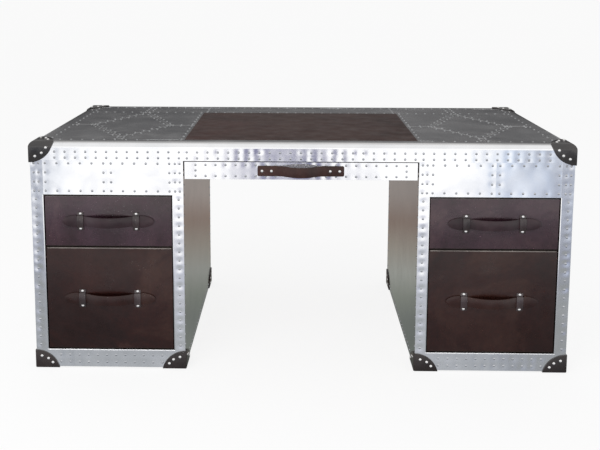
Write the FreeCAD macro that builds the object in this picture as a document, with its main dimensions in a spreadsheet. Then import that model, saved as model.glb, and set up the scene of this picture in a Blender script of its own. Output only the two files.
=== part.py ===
# Double-pedestal desk: a board carcass clad in riveted aluminium sheet, with a leather writing panel,
# leather-faced drawers on hardwood runners, strap handles and nailed leather corner guards.
# Millimetres, +Z up. The drawers open towards -Y. The origin is on the floor, under the middle.

import FreeCAD, Part
import math
import os
import re
import Sketcher

SIZES = {
    # Overall
    "desk_width": 1790,
    "desk_depth": 900,
    "desk_height": 780,
    "pedestal_width": 507,
    # Boards and sheet metal
    "sheet": 1.5,
    "carcass_board": 20,
    "back_board": 12,
    "frame_board": 20,
    "top_board": 25,
    # Top
    "top_edge_height": 61,
    "edge_radius": 18,
    "edge_strip": 58,
    "rim_rail": 45,
    "inset_width": 778,
    "inset_depth": 637,
    "inset_leather": 2,
    # Front of a pedestal
    "outer_stile": 41,
    "inner_stile": 37,
    "bottom_rail": 62,
    "apron_height": 116,
    # Rail across the back of the kneehole
    "back_rail_height": 58,
    # Drawer fronts
    "drawer_gap": 3,
    "face_recess": 1.5,
    "face_leather": 3,
    "front_board": 20,
    "upper_front_height": 174,
    "centre_front_height": 58,
    # Drawer boxes
    "box_side_gap": 4.5,
    "box_top_gap": 24,
    "box_bottom_gap": 12,
    "box_back_gap": 30,
    "drawer_wall": 14,
    "drawer_floor": 8,
    "floor_lift": 6,
    "centre_box_side_gap": 18,
    "centre_box_top_gap": 7,
    "centre_box_bottom_gap": 5,
    "centre_box_back_gap": 160,
    # Runner bars and the grooves that ride on them
    "runner_height": 16,
    "groove_depth": 6,
    "runner_clearance": 0.4,
    "runner_setback": 4,
    # Strap handles
    "strap_thickness": 5,
    "strap_width": 34,
    "strap_bow": 26,
    "strap_bend": 15,
    "strap_end_length": 48,
    "strap_end_width": 42,
    "strap_end_gap": 1.5,
    "keeper_spacing": 186,
    "keeper_width": 22,
    "keeper_leather": 2.5,
    "keeper_fit": 0.3,
    "keeper_margin": 6,
    "centre_strap_length": 285,
    "centre_strap_flat": 62,
    "centre_strap_bow": 30,
    "centre_strap_bend": 61,
    "centre_nail_margin": 15,
    "centre_nail_spacing": 31,
    "strap_corner": 5,
    # Corner guards
    "guard_leather": 4,
    "guard_reach_x": 77,
    "guard_reach_y": 95,
    "top_guard_reach_z": 68,
    "foot_guard_reach_z": 58,
    # Domed nails
    "nail_radius": 5,
    "nail_dome": 3,
    "nail_inset": 18,
}

# Directions from a corner to the three nails on each lobe of a guard, in degrees
NAIL_ANGLES = (22, 47, 72)
SIDES = ("left", "right")
# The two ends of a handle, or of a keeper, and the sign that leads there from its middle
HANDS = (("a", "-"), ("b", "+"))
# A sketch's own axes, by the index that its constraints know them by
AXIS_INDEX = {"across": -1, "upright": -2}
# Rough sketches, before their constraints give them their size: half the side of a rectangle, and how
# far a strap's bow runs to each side as a multiple of its height
ROUGH_HALF = 10
ROUGH_REACH = 2.7

# Levels and planes, written as formulas of the sizes
FRONT = "((strap_bow + strap_thickness - face_recess - guard_leather - nail_dome)/2 - desk_depth/2)"
BACK = f"({FRONT} + desk_depth)"
MIDDLE = f"({FRONT} + desk_depth/2)"
SOLE = "guard_leather"
TOP = "desk_height"
UNDER = "(desk_height - top_edge_height)"
BOARD_TOP = "(desk_height - sheet)"
BOARD_UNDER = f"({BOARD_TOP} - top_board)"
OPEN_TOP = f"({UNDER} - apron_height)"
OPEN_BOTTOM = f"({SOLE} + bottom_rail)"
OPEN_WIDTH = "(pedestal_width - outer_stile - inner_stile)"
KNEEHOLE = "(desk_width - 2*pedestal_width)"
FRAME_BACK = f"({FRONT} + sheet + frame_board)"
BACK_INSIDE = f"({BACK} - sheet - back_board)"
FACE = f"({FRONT} + face_recess)"
INSET_FRONT = f"({FRONT} + edge_strip)"
INSET_BACK = f"({INSET_FRONT} + inset_depth)"
NAIL_BALL = "((nail_radius*nail_radius + nail_dome*nail_dome)/(2*nail_dome))"

doc = FreeCAD.newDocument("Desk")
sheet = doc.addObject("Spreadsheet::Sheet", "Sizes")
for row, (alias, value) in enumerate(SIZES.items(), start=1):
    sheet.set(f"A{row}", alias)
    sheet.set(f"B{row}", str(value))
    sheet.setAlias(f"B{row}", alias)
doc.recompute()

nodes = []


def sized(formula):
    """Write the names in a formula as cells of the sheet."""
    return re.sub(r"[a-z_]+", lambda word: f"Sizes.{word[0]}" if word[0] in SIZES else word[0], formula)


def bind(item, prop, formula):
    item.setExpression(prop, sized(formula))


def place(item, x, y, z):
    for axis, formula in zip("xyz", (x, y, z)):
        bind(item, f"Placement.Base.{axis}", formula)


def turn(item, axis, degrees):
    item.Placement.Rotation = FreeCAD.Rotation(FreeCAD.Vector(*axis), degrees)


def keep(item):
    """Count a finished sub-part among the nodes, under its label."""
    nodes.append(item)
    return item


def board(name, x, y, z):
    """A box from (start, length) pairs along X, Y and Z."""
    box = doc.addObject("Part::Box", name)
    for prop, (start, length) in zip(("Length", "Width", "Height"), (x, y, z)):
        bind(box, prop, length)
    place(box, x[0], y[0], z[0])
    return box


def combine(kind, name, base, tool):
    result = doc.addObject(f"Part::{kind}", name)
    result.Base = base
    result.Tool = tool
    return result


def group(name, pieces):
    """Separate solids that share one node."""
    result = doc.addObject("Part::Compound", name)
    result.Links = pieces
    return result


def span(start, end):
    """The (start, length) pair of a stretch between two places."""
    return start, f"({end} - {start})"


def across(side, offset, length):
    """The (start, length) pair along X of a piece, its offset counted from the desk's outer face."""
    if side == "left":
        return f"(-desk_width/2 + {offset})", length
    return f"(desk_width/2 - {offset} - {length})", length


def plane(body, role):
    return next(item for item in body.Origin.OriginFeatures if item.Role == role)


def sketch_on(body, role, name):
    sketch = body.newObject("Sketcher::SketchObject", name)
    sketch.AttachmentSupport = [(plane(body, role), "")]
    sketch.MapMode = "FlatFace"
    return sketch


def draw_rectangle(sketch, width, height):
    """A rectangle centred on the sketch's origin, with its two sides bound to formulas."""
    turns = ((-1, -1), (1, -1), (1, 1), (-1, 1))
    corners = [FreeCAD.Vector(x * ROUGH_HALF, y * ROUGH_HALF, 0) for x, y in turns]
    for start, end in zip(corners, corners[1:] + corners[:1]):
        sketch.addGeometry(Part.LineSegment(start, end))
    for line in range(4):
        sketch.addConstraint(Sketcher.Constraint("Coincident", line, 2, (line + 1) % 4, 1))
    for line, direction in enumerate(("Horizontal", "Vertical", "Horizontal", "Vertical")):
        sketch.addConstraint(Sketcher.Constraint(direction, line))
    sketch.addConstraint(Sketcher.Constraint("Symmetric", 0, 1, 2, 1, AXIS_INDEX["across"], 1))
    for line, kind, formula in ((0, "DistanceX", width), (1, "DistanceY", height)):
        index = sketch.addConstraint(Sketcher.Constraint(kind, line, 1, line, 2, 2 * ROUGH_HALF))
        bind(sketch, f"Constraints[{index}]", formula)


def edges_where(shape, test):
    """Names of the edges whose two ends both pass a test."""
    return [f"Edge{number}" for number, edge in enumerate(shape.Edges, start=1)
            if all(test(vertex.Point) for vertex in edge.Vertexes)]


def round_block(name, width, depth, height, radius, which):
    """A block with rounded edges: the top rim, or the bottom rim and the upright edges."""
    body = doc.addObject("PartDesign::Body", name)
    sketch = sketch_on(body, "XY_Plane", f"{name}_plan")
    draw_rectangle(sketch, width, depth)
    pad = body.newObject("PartDesign::Pad", f"{name}_pad")
    pad.Profile = sketch
    bind(pad, "Length", height)
    doc.recompute()
    top = pad.Shape.BoundBox.ZMax
    near = 1e-6
    if which == "top":
        rim = edges_where(pad.Shape, lambda point: abs(point.z - top) < near)
    else:
        upper = edges_where(pad.Shape, lambda point: abs(point.z - top) < near)
        rim = [f"Edge{number + 1}" for number in range(len(pad.Shape.Edges))
               if f"Edge{number + 1}" not in upper]
    fillet = body.newObject("PartDesign::Fillet", f"{name}_round")
    fillet.Base = (pad, rim)
    bind(fillet, "Radius", radius)
    return body


def domed_nail(name, x, y, z, axis=(1, 0, 0), degrees=0):
    """A nail's dome, a cap of a ball, with its flat seat at the given place."""
    ball = doc.addObject("Part::Sphere", name)
    bind(ball, "Radius", NAIL_BALL)
    bind(ball, "Angle1", f"asin(({NAIL_BALL} - nail_dome)/{NAIL_BALL})")
    turn(ball, axis, degrees)
    place(ball, x, y, z)
    return ball


def sunk(plane_formula, direction):
    """Where the centre of a nail's ball lies, behind the face that the nail sits on."""
    return f"({plane_formula} - ({direction})*({NAIL_BALL} - nail_dome))"


def rim_slab(name, grow, height):
    """The rounded block of the whole top, grown or shrunk by a thickness, down to a given height."""
    slab = round_block(name, f"desk_width + 2*({grow})", f"desk_depth + 2*({grow})",
                       f"{height} + ({grow})", f"edge_radius + ({grow})", "top")
    place(slab, "0", MIDDLE, f"{TOP} - ({height})")
    return slab


def make_top():
    outer = rim_slab("rim_outside", "0", "top_edge_height")
    inner = rim_slab("rim_inside", "-sheet", "top_edge_height")
    upper = board("upper_zone", ("-desk_width/2", "desk_width"), (FRONT, "desk_depth"),
                  (BOARD_UNDER, "top_board + sheet"))
    keep(combine("Common", "desktop_board", inner, upper))

    left, right = "(-desk_width/2 + sheet)", "(desk_width/2 - sheet)"
    ahead, behind = f"({FRONT} + sheet)", f"({BACK} - sheet)"
    rim_z = span(UNDER, BOARD_UNDER)
    between = span(f"({ahead} + rim_rail)", f"({behind} - rim_rail)")
    rails = [
        board("rim_front", span(left, right), (ahead, "rim_rail"), rim_z),
        board("rim_back", span(left, right), (f"({behind} - rim_rail)", "rim_rail"), rim_z),
        board("rim_left", (left, "rim_rail"), between, rim_z),
        board("rim_right", (f"({right} - rim_rail)", "rim_rail"), between, rim_z),
    ]
    keep(group("top_rim_frame", rails))

    skin = combine("Cut", "rim_skin", outer, inner)
    field_x = span("(-desk_width/2 + edge_strip)", "(desk_width/2 - edge_strip)")
    field = board("field_zone", field_x, span(INSET_FRONT, f"({BACK} - edge_strip)"),
                  (BOARD_UNDER, "top_board + 2*sheet"))
    keep(combine("Cut", "top_edge_band", skin, field))

    on_board = (BOARD_TOP, "sheet")
    inset_y = (INSET_FRONT, "inset_depth")
    for side in SIDES:
        width = "(desk_width/2 - edge_strip - inset_width/2)"
        keep(board(f"top_{side}_sheet", across(side, "edge_strip", width), inset_y, on_board))
    keep(board("top_back_sheet", field_x, span(INSET_BACK, f"({BACK} - edge_strip)"), on_board))
    keep(board("writing_leather", ("-inset_width/2", "inset_width"), inset_y,
               (BOARD_TOP, "inset_leather")))


def make_kneehole_back():
    across_gap = (f"-{KNEEHOLE}/2", KNEEHOLE)
    upright = (f"({UNDER} - back_rail_height)", "back_rail_height")
    keep(board("kneehole_back_rail", across_gap, (f"({BACK} - sheet - carcass_board)", "carcass_board"),
               upright))
    keep(board("kneehole_back_sheet", across_gap, (f"({BACK} - sheet)", "sheet"), upright))


def make_pedestal(side):
    upright = span(SOLE, UNDER)
    inside_y = span(FRAME_BACK, BACK_INSIDE)
    frame_y = (f"({FRONT} + sheet)", "frame_board")
    opening_x = across(side, "outer_stile", OPEN_WIDTH)
    apron_z = span(OPEN_TOP, UNDER)
    rail_z = span(SOLE, OPEN_BOTTOM)
    inner_at = "(pedestal_width - sheet - carcass_board)"
    stile_at = "(pedestal_width - inner_stile)"

    keep(board(f"{side}_outer_panel", across(side, "sheet", "carcass_board"), inside_y, upright))
    keep(board(f"{side}_inner_panel", across(side, inner_at, "carcass_board"), inside_y, upright))
    keep(board(f"{side}_back_panel", across(side, "sheet", "(pedestal_width - 2*sheet)"),
               (BACK_INSIDE, "back_board"), upright))
    keep(board(f"{side}_floor_panel",
               across(side, "(sheet + carcass_board)", "(pedestal_width - 2*sheet - 2*carcass_board)"),
               inside_y, (SOLE, "carcass_board")))

    frame = [
        board(f"{side}_stile_out", across(side, "sheet", "(outer_stile - sheet)"), frame_y, upright),
        board(f"{side}_stile_in", across(side, stile_at, "(inner_stile - sheet)"), frame_y, upright),
        board(f"{side}_apron", opening_x, frame_y, apron_z),
        board(f"{side}_rail", opening_x, frame_y, rail_z),
    ]
    keep(group(f"{side}_face_frame", frame))

    sheet_y = (FRONT, "sheet")
    strips = [
        board(f"{side}_strip_out", across(side, "0", "outer_stile"), sheet_y, upright),
        board(f"{side}_strip_in", across(side, stile_at, "inner_stile"), sheet_y, upright),
        board(f"{side}_apron_sheet", opening_x, sheet_y, apron_z),
        board(f"{side}_rail_sheet", opening_x, sheet_y, rail_z),
    ]
    keep(group(f"{side}_front_sheets", strips))

    side_y = span(f"({FRONT} + sheet)", f"({BACK} - sheet)")
    flanks = [
        board(f"{side}_flank_out", across(side, "0", "sheet"), side_y, upright),
        board(f"{side}_flank_in", across(side, "(pedestal_width - sheet)", "sheet"), side_y, upright),
    ]
    keep(group(f"{side}_side_sheets", flanks))
    keep(board(f"{side}_back_sheet", across(side, "0", "pedestal_width"),
               (f"({BACK} - sheet)", "sheet"), upright))


def make_box(name, x, y, z):
    """A drawer box: two grooved sides, a back between them and a bottom that is let in."""
    x0, width = x
    y0, length = y
    z0, height = z
    groove_z = (f"({z0} + {height}/2 - runner_height/2 - runner_clearance)",
                "(runner_height + 2*runner_clearance)")
    far_plank = f"({x0} + {width} - drawer_wall)"
    far_groove = f"({x0} + {width} - groove_depth)"
    sides = []
    for hand, at, groove_at in (("a", x0, x0), ("b", far_plank, far_groove)):
        plank = board(f"{name}_plank_{hand}", (at, "drawer_wall"), y, z)
        groove = board(f"{name}_groove_{hand}", (groove_at, "groove_depth"), y, groove_z)
        sides.append(combine("Cut", f"{name}_side_{hand}", plank, groove))
    between = (f"({x0} + drawer_wall)", f"({width} - 2*drawer_wall)")
    end = board(f"{name}_end", between, (f"({y0} + {length} - drawer_wall)", "drawer_wall"), z)
    bottom = board(f"{name}_bottom", between, (y0, f"({length} - drawer_wall)"),
                   (f"({z0} + floor_lift)", "drawer_floor"))
    return keep(group(f"{name}_box", sides + [end, bottom]))


def strap_band(name, half_flat, half_span, bow_size, bend_size):
    """A strap's band: flat ends joined by a smooth outward bow, a wide arc between two bends."""
    body = doc.addObject("PartDesign::Body", name)
    path = sketch_on(body, "XY_Plane", f"{name}_path")

    # The path is drawn roughly, and its constraints then give it its size
    bow = sheet.get(bow_size)
    reach = ROUGH_REACH * bow
    flat = 2 * reach
    bend = sheet.get(bend_size)
    crown = (reach * reach + bow * bow) / (2 * bow) - bend
    swing = 2 * math.atan2(bow, reach)
    quarter = math.pi / 2

    def arc(x, y, radius, start, end):
        circle = Part.Circle(FreeCAD.Vector(x, y, 0), FreeCAD.Vector(0, 0, 1), radius)
        return Part.ArcOfCircle(circle, start, end)

    def line(start, end):
        return Part.LineSegment(FreeCAD.Vector(start, 0, 0), FreeCAD.Vector(end, 0, 0))

    path.addGeometry(line(-flat, -reach))
    path.addGeometry(arc(-reach, -bend, bend, quarter - swing, quarter))
    path.addGeometry(arc(0, crown - bow, crown, 3 * quarter - swing, 3 * quarter + swing))
    path.addGeometry(arc(reach, -bend, bend, quarter, quarter + swing))
    path.addGeometry(line(reach, flat))
    joins = ((0, 2, 1, 2), (1, 1, 2, 1), (2, 2, 3, 2), (3, 1, 4, 1))
    for join in joins:
        path.addConstraint(Sketcher.Constraint("Tangent", *join))
    path.addConstraint(Sketcher.Constraint("Horizontal", 0))
    path.addConstraint(Sketcher.Constraint("PointOnObject", 0, 1, AXIS_INDEX["across"]))
    path.addConstraint(Sketcher.Constraint("Symmetric", 0, 1, 4, 2, AXIS_INDEX["upright"]))
    path.addConstraint(Sketcher.Constraint("Symmetric", 0, 2, 4, 1, AXIS_INDEX["upright"]))
    path.addConstraint(Sketcher.Constraint("Equal", 1, 3))
    crown_radius = f"(({half_span})*({half_span}) + {bow_size}*{bow_size})/(2*{bow_size}) - {bend_size}"
    sizes = (
        (Sketcher.Constraint("DistanceX", 0, 1, 4, 2, 2 * flat), f"2*({half_flat})"),
        (Sketcher.Constraint("DistanceX", 0, 2, 4, 1, 2 * reach), f"2*({half_span})"),
        (Sketcher.Constraint("Radius", 1, bend), bend_size),
        (Sketcher.Constraint("Radius", 2, crown), crown_radius),
    )
    for constraint, formula in sizes:
        bind(path, f"Constraints[{path.addConstraint(constraint)}]", formula)

    section = sketch_on(body, "YZ_Plane", f"{name}_section")
    bind(section, "AttachmentOffset.Base.z", f"-({half_flat})")
    draw_rectangle(section, "strap_thickness", "strap_width")
    doc.recompute()
    pipe = body.newObject("PartDesign::AdditivePipe", f"{name}_pipe")
    pipe.Profile = section
    pipe.Spine = (path, [])
    doc.recompute()
    return body, pipe


def place_on_face(item, x, z):
    place(item, x, f"({FACE} - strap_thickness/2)", z)


def make_keeper_handle(name, x, z):
    """A strap with oval ends, held to a drawer face by two nailed keepers."""
    half_span = "(keeper_spacing/2 - keeper_width/2)"
    end_at = "(keeper_spacing/2 + keeper_width/2 + strap_end_gap)"
    inside_end = f"({end_at} + strap_thickness)"
    band, _ = strap_band(f"{name}_band", inside_end, half_span, "strap_bow", "strap_bend")
    place_on_face(band, x, z)
    pieces = [band]
    for hand, sign in HANDS:
        start = f"({x} {sign} {end_at})"
        outline = doc.addObject("Part::Ellipse", f"{name}_outline_{hand}")
        bind(outline, "MajorRadius", "strap_end_length")
        bind(outline, "MinorRadius", "strap_end_width/2")
        turn(outline, (1, 0, 0), 90)
        place(outline, start, FACE, z)
        oval = doc.addObject("Part::Extrusion", f"{name}_oval_{hand}")
        oval.Base = outline
        oval.DirMode = "Custom"
        oval.Dir = FreeCAD.Vector(0, -1, 0)
        bind(oval, "LengthFwd", "strap_thickness")
        oval.Solid = True
        outer_x = f"({start} - strap_end_length)" if sign == "-" else start
        outer = board(f"{name}_outer_half_{hand}", (outer_x, "strap_end_length"),
                      (f"({FACE} - strap_thickness)", "strap_thickness"),
                      (f"({z} - strap_end_width/2)", "strap_end_width"))
        pieces.append(combine("Common", f"{name}_end_{hand}", oval, outer))
    strap = doc.addObject("Part::MultiFuse", f"{name}_strap")
    strap.Shapes = pieces
    strap.Refine = True
    keep(strap)

    hollow = "(strap_width/2 + keeper_fit)"
    nail_at = f"({hollow} + keeper_leather + keeper_fit + nail_radius)"
    tail = f"({nail_at} + keeper_margin)"
    lift = "(strap_thickness + keeper_fit)"
    keepers = []
    nails = []
    for hand, sign in HANDS:
        middle = f"({x} {sign} keeper_spacing/2)"
        wide = (f"({middle} - keeper_width/2)", "keeper_width")
        tall = (f"({z} - {tail})", f"2*{tail}")
        arch = (f"({z} - {hollow} - keeper_leather)", f"2*({hollow} + keeper_leather)")
        inside = (f"({z} - {hollow})", f"2*{hollow}")
        pad = board(f"{name}_pad_{hand}", wide, (f"({FACE} - keeper_leather)", "keeper_leather"), tall)
        loop = board(f"{name}_loop_{hand}", wide,
                     (f"({FACE} - {lift} - keeper_leather)", f"({lift} + keeper_leather)"), arch)
        tunnel = board(f"{name}_tunnel_{hand}", wide, (f"({FACE} - {lift})", lift), inside)
        bridge = combine("Fuse", f"{name}_bridge_{hand}", pad, loop)
        keepers.append(combine("Cut", f"{name}_keeper_{hand}", bridge, tunnel))
        for level, rise in HANDS:
            nails.append(domed_nail(f"{name}_nail_{hand}{level}", middle,
                                    sunk(f"({FACE} - keeper_leather)", "-1"),
                                    f"({z} {rise} {nail_at})", (1, 0, 0), 90))
    keep(group(f"{name}_keepers", keepers))
    keep(group(f"{name}_handle_nails", nails))


def make_plain_handle(name, x, z):
    """A strap that is nailed straight to the drawer face, with two nails at each end."""
    half = "centre_strap_length/2"
    half_span = "(centre_strap_length/2 - centre_strap_flat)"
    band, pipe = strap_band(f"{name}_strap", half, half_span, "centre_strap_bow", "centre_strap_bend")
    end = pipe.Shape.BoundBox.XMax
    near = 1e-4
    ends = [f"Edge{number}" for number, edge in enumerate(pipe.Shape.Edges, start=1)
            if all(abs(abs(vertex.X) - end) < near for vertex in edge.Vertexes)
            and abs(edge.Vertexes[0].Z - edge.Vertexes[-1].Z) < near]
    rounded = band.newObject("PartDesign::Fillet", f"{name}_strap_ends")
    rounded.Base = (pipe, ends)
    bind(rounded, "Radius", "strap_corner")
    place_on_face(band, x, z)
    keep(band)

    nails = []
    for hand, sign in HANDS:
        for order, inset in enumerate(("centre_nail_margin", "(centre_nail_margin + centre_nail_spacing)")):
            nails.append(domed_nail(f"{name}_nail_{hand}{order}", f"({x} {sign} ({half} - {inset}))",
                                    sunk(f"({FACE} - strap_thickness)", "-1"), z, (1, 0, 0), 90))
    keep(group(f"{name}_handle_nails", nails))


def make_pedestal_drawers(side):
    """The upper and lower drawer of one pedestal, and the runner bars that carry them."""
    lower_height = f"({OPEN_TOP} - {OPEN_BOTTOM} - upper_front_height - 3*drawer_gap)"
    fronts = {
        "upper": (f"({OPEN_TOP} - drawer_gap - upper_front_height)", "upper_front_height"),
        "lower": (f"({OPEN_BOTTOM} + drawer_gap)", lower_height),
    }
    front_x = across(side, "(outer_stile + drawer_gap)", f"({OPEN_WIDTH} - 2*drawer_gap)")
    box_x = across(side, "(outer_stile + box_side_gap)", f"({OPEN_WIDTH} - 2*box_side_gap)")
    front_back = f"({FACE} + face_leather + front_board)"
    box_y = span(front_back, f"({BACK_INSIDE} - box_back_gap)")
    runner_y = span(f"({front_back} + runner_setback)", BACK_INSIDE)
    inside = "(sheet + carcass_board)"
    tongue = "(box_side_gap + groove_depth - runner_clearance)"
    outer_bar = across(side, inside, f"(outer_stile + {tongue} - {inside})")
    inner_bar = across(side, f"(pedestal_width - inner_stile - {tongue})",
                       f"(inner_stile + {tongue} - {inside})")
    runners = []
    for level, (low, height) in fronts.items():
        name = f"{side}_{level}_drawer"
        keep(board(f"{name}_face", front_x, (FACE, "face_leather"), (low, height)))
        keep(board(f"{name}_front", front_x, (f"({FACE} + face_leather)", "front_board"), (low, height)))
        box_low = f"({low} + box_bottom_gap)"
        box_height = f"({height} - box_bottom_gap - box_top_gap)"
        make_box(name, box_x, box_y, (box_low, box_height))
        runner_z = (f"({box_low} + {box_height}/2 - runner_height/2)", "runner_height")
        for hand, bar in (("out", outer_bar), ("in", inner_bar)):
            runners.append(board(f"{name}_runner_{hand}", bar, runner_y, runner_z))
        make_keeper_handle(name, f"({front_x[0]} + {front_x[1]}/2)", f"({low} + {height}/2)")
    keep(group(f"{side}_drawer_runners", runners))


def make_centre_drawer():
    """The shallow drawer over the kneehole, hung between the two pedestals."""
    name = "centre_drawer"
    front_x = (f"(-{KNEEHOLE}/2 + drawer_gap)", f"({KNEEHOLE} - 2*drawer_gap)")
    low = f"({UNDER} - drawer_gap - centre_front_height)"
    height = "centre_front_height"
    keep(board(f"{name}_face", front_x, (FACE, "sheet"), (low, height)))
    keep(board(f"{name}_front", front_x, (f"({FACE} + sheet)", "front_board"), (low, height)))
    front_back = f"({FACE} + sheet + front_board)"
    box_x = (f"(-{KNEEHOLE}/2 + centre_box_side_gap)", f"({KNEEHOLE} - 2*centre_box_side_gap)")
    box_y = span(front_back, f"({BACK} - sheet - carcass_board - centre_box_back_gap)")
    box_low = f"({low} + centre_box_bottom_gap)"
    box_height = f"({height} - centre_box_bottom_gap - centre_box_top_gap)"
    make_box(name, box_x, box_y, (box_low, box_height))
    reach = "(centre_box_side_gap + groove_depth - runner_clearance)"
    runner_y = span(f"({front_back} + runner_setback)", f"({BACK} - sheet - carcass_board)")
    runner_z = (f"({box_low} + {box_height}/2 - runner_height/2)", "runner_height")
    runners = [
        board(f"{name}_runner_a", (f"(-{KNEEHOLE}/2)", reach), runner_y, runner_z),
        board(f"{name}_runner_b", (f"({KNEEHOLE}/2 - {reach})", reach), runner_y, runner_z),
    ]
    keep(group("centre_drawer_runners", runners))
    make_plain_handle(name, "0", f"({low} + {height}/2)")


def make_corner_guards():
    """Leather shells over every corner, with a round lobe on each of the corner's faces."""
    nails = []
    ends = ((FRONT, "+", (1, 0, 0), 90), (BACK, "-", (1, 0, 0), -90))
    lobe_x = "(guard_reach_x - nail_inset)"
    lobe_y = "(guard_reach_y - nail_inset)"

    def roller(name, radius, length, axis, degrees, x, y, z):
        """A cylinder that stands on the given place, turned from upright."""
        item = doc.addObject("Part::Cylinder", name)
        bind(item, "Radius", radius)
        bind(item, "Height", length)
        turn(item, axis, degrees)
        place(item, x, y, z)
        return item

    def cutter(name, x, inward, y, z, rise, reach_z):
        """The round outline of one corner's three lobes: each lobe's edge is an arc that leaves one
        edge of the corner squarely and ends at the lobe's reach along the other."""
        reach_x, reach_y = "guard_reach_x", "guard_reach_y"

        def back_off(reach, other):
            return f"(({reach}*{reach} - {other}*{other})/(2*{reach}))"

        front_off = back_off(reach_z, reach_x)
        flank_off = back_off(reach_z, reach_y)
        plan_off = back_off(reach_x, reach_y)
        arcs = [
            roller(f"{name}_front", f"({reach_z} - {front_off})", f"4*{reach_y}", (1, 0, 0), 90,
                   x, f"({y} + 2*{reach_y})", f"({z} {rise} {front_off})"),
            roller(f"{name}_flank", f"({reach_z} - {flank_off})", f"4*{reach_x}", (0, 1, 0), 90,
                   f"({x} - 2*{reach_x})", y, f"({z} {rise} {flank_off})"),
            roller(f"{name}_plan", f"({reach_x} - {plan_off})", f"4*{reach_z}", (0, 0, 1), 0,
                   f"({x} {inward} {plan_off})", y, f"({z} - 2*{reach_z})"),
        ]
        common = doc.addObject("Part::MultiCommon", name)
        common.Shapes = arcs
        return common

    def nail_corner(name, x, inward, y, deep, facing, z, fall, lobe_z, with_top):
        """Nails on the lobes of one corner: its front or back face, its flank and its top."""
        flank = "-1" if inward == "+" else "1"
        facing_sign = "-1" if deep == "+" else "1"
        for number, angle in enumerate(NAIL_ANGLES):
            along = f"cos({angle} deg)"
            aside = f"sin({angle} deg)"
            level = f"({z} {fall} {lobe_z}*{aside})"
            nails.append(domed_nail(f"{name}_face_{number}", f"({x} {inward} {lobe_x}*{along})",
                                    sunk(f"({y} + ({facing_sign})*guard_leather)", facing_sign), level,
                                    *facing))
            nails.append(domed_nail(f"{name}_flank_{number}",
                                    sunk(f"({x} + ({flank})*guard_leather)", flank),
                                    f"({y} {deep} {lobe_y}*{along})", level,
                                    (0, 1, 0), 90 * int(flank)))
            if with_top:
                nails.append(domed_nail(f"{name}_top_{number}", f"({x} {inward} {lobe_x}*{along})",
                                        f"({y} {deep} {lobe_y}*{aside})",
                                        sunk(f"({TOP} + guard_leather)", "1")))

    cover = rim_slab("guard_outside", "guard_leather", "top_guard_reach_z")
    core = rim_slab("guard_inside", "0", "top_guard_reach_z")
    shell = combine("Cut", "top_guard_shell", cover, core)
    cutters = []
    for x, inward in (("(-desk_width/2)", "+"), ("(desk_width/2)", "-")):
        for y, deep, *facing in ends:
            name = f"top_corner_{len(cutters)}"
            cutters.append(cutter(name, x, inward, y, TOP, "-", "top_guard_reach_z"))
            nail_corner(name, x, inward, y, deep, facing, TOP, "-",
                        "(top_guard_reach_z - nail_inset)", True)
    keep(combine("Common", "top_corner_guards", shell, group("top_cutters", cutters)))

    guards = []
    for side in SIDES:
        start, width = across(side, "0", "pedestal_width")
        cover = round_block(f"{side}_foot_cover", f"{width} + 2*guard_leather",
                            "desk_depth + 2*guard_leather", "guard_leather + foot_guard_reach_z",
                            "guard_leather", "foot")
        place(cover, f"({start} + {width}/2)", MIDDLE, "0")
        core = board(f"{side}_foot_core", (start, width), (FRONT, "desk_depth"),
                     (SOLE, "2*foot_guard_reach_z"))
        shell = combine("Cut", f"{side}_foot_shell", cover, core)
        cutters = []
        for x, inward in ((start, "+"), (f"({start} + {width})", "-")):
            for y, deep, *facing in ends:
                name = f"{side}_foot_{len(cutters)}"
                cutters.append(cutter(name, x, inward, y, SOLE, "+", "foot_guard_reach_z"))
                nail_corner(name, x, inward, y, deep, facing, SOLE, "+",
                            "(foot_guard_reach_z - nail_inset)", False)
        guards.append(combine("Common", f"{side}_feet", shell, group(f"{side}_cutters", cutters)))
    keep(group("pedestal_corner_guards", guards))
    keep(group("guard_nails", nails))


make_top()
make_kneehole_back()
for hand_side in SIDES:
    make_pedestal(hand_side)
    make_pedestal_drawers(hand_side)
make_centre_drawer()
make_corner_guards()
doc.recompute()

failed = [item.Name for item in doc.Objects if {"Invalid", "Error"} & set(item.State)]
failed += [item.Label for item in nodes if item.Shape.isNull() or not item.Shape.isValid()]
if failed:
    raise RuntimeError("these objects failed: " + ", ".join(failed))

os.makedirs("parts", exist_ok=True)
for item in nodes:
    item.Shape.exportStep(f"parts/{item.Label}.step")
    print(item.Label, len(item.Shape.Solids), "solids", round(item.Shape.Volume / 1000, 1), "cm3")
print(len(nodes), "nodes")
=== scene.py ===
# %% [markdown]
# # A riveted desk: from bare boards to polished metal and leather
# The frame that is loaded here holds every board, drawer, strap and nail at its real size and place.
# On the real desk those boards are never seen: they are wrapped in thin aluminium sheet held by rows of
# small rivets, and in brown leather. This lesson makes that skin. Nothing in the frame is moved. Each
# new piece is put where the frame says, and it then travels with the body that carries it.

# %% Load the frame
import math
import random

import bpy
from mathutils import Matrix, Vector, kdtree


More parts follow.
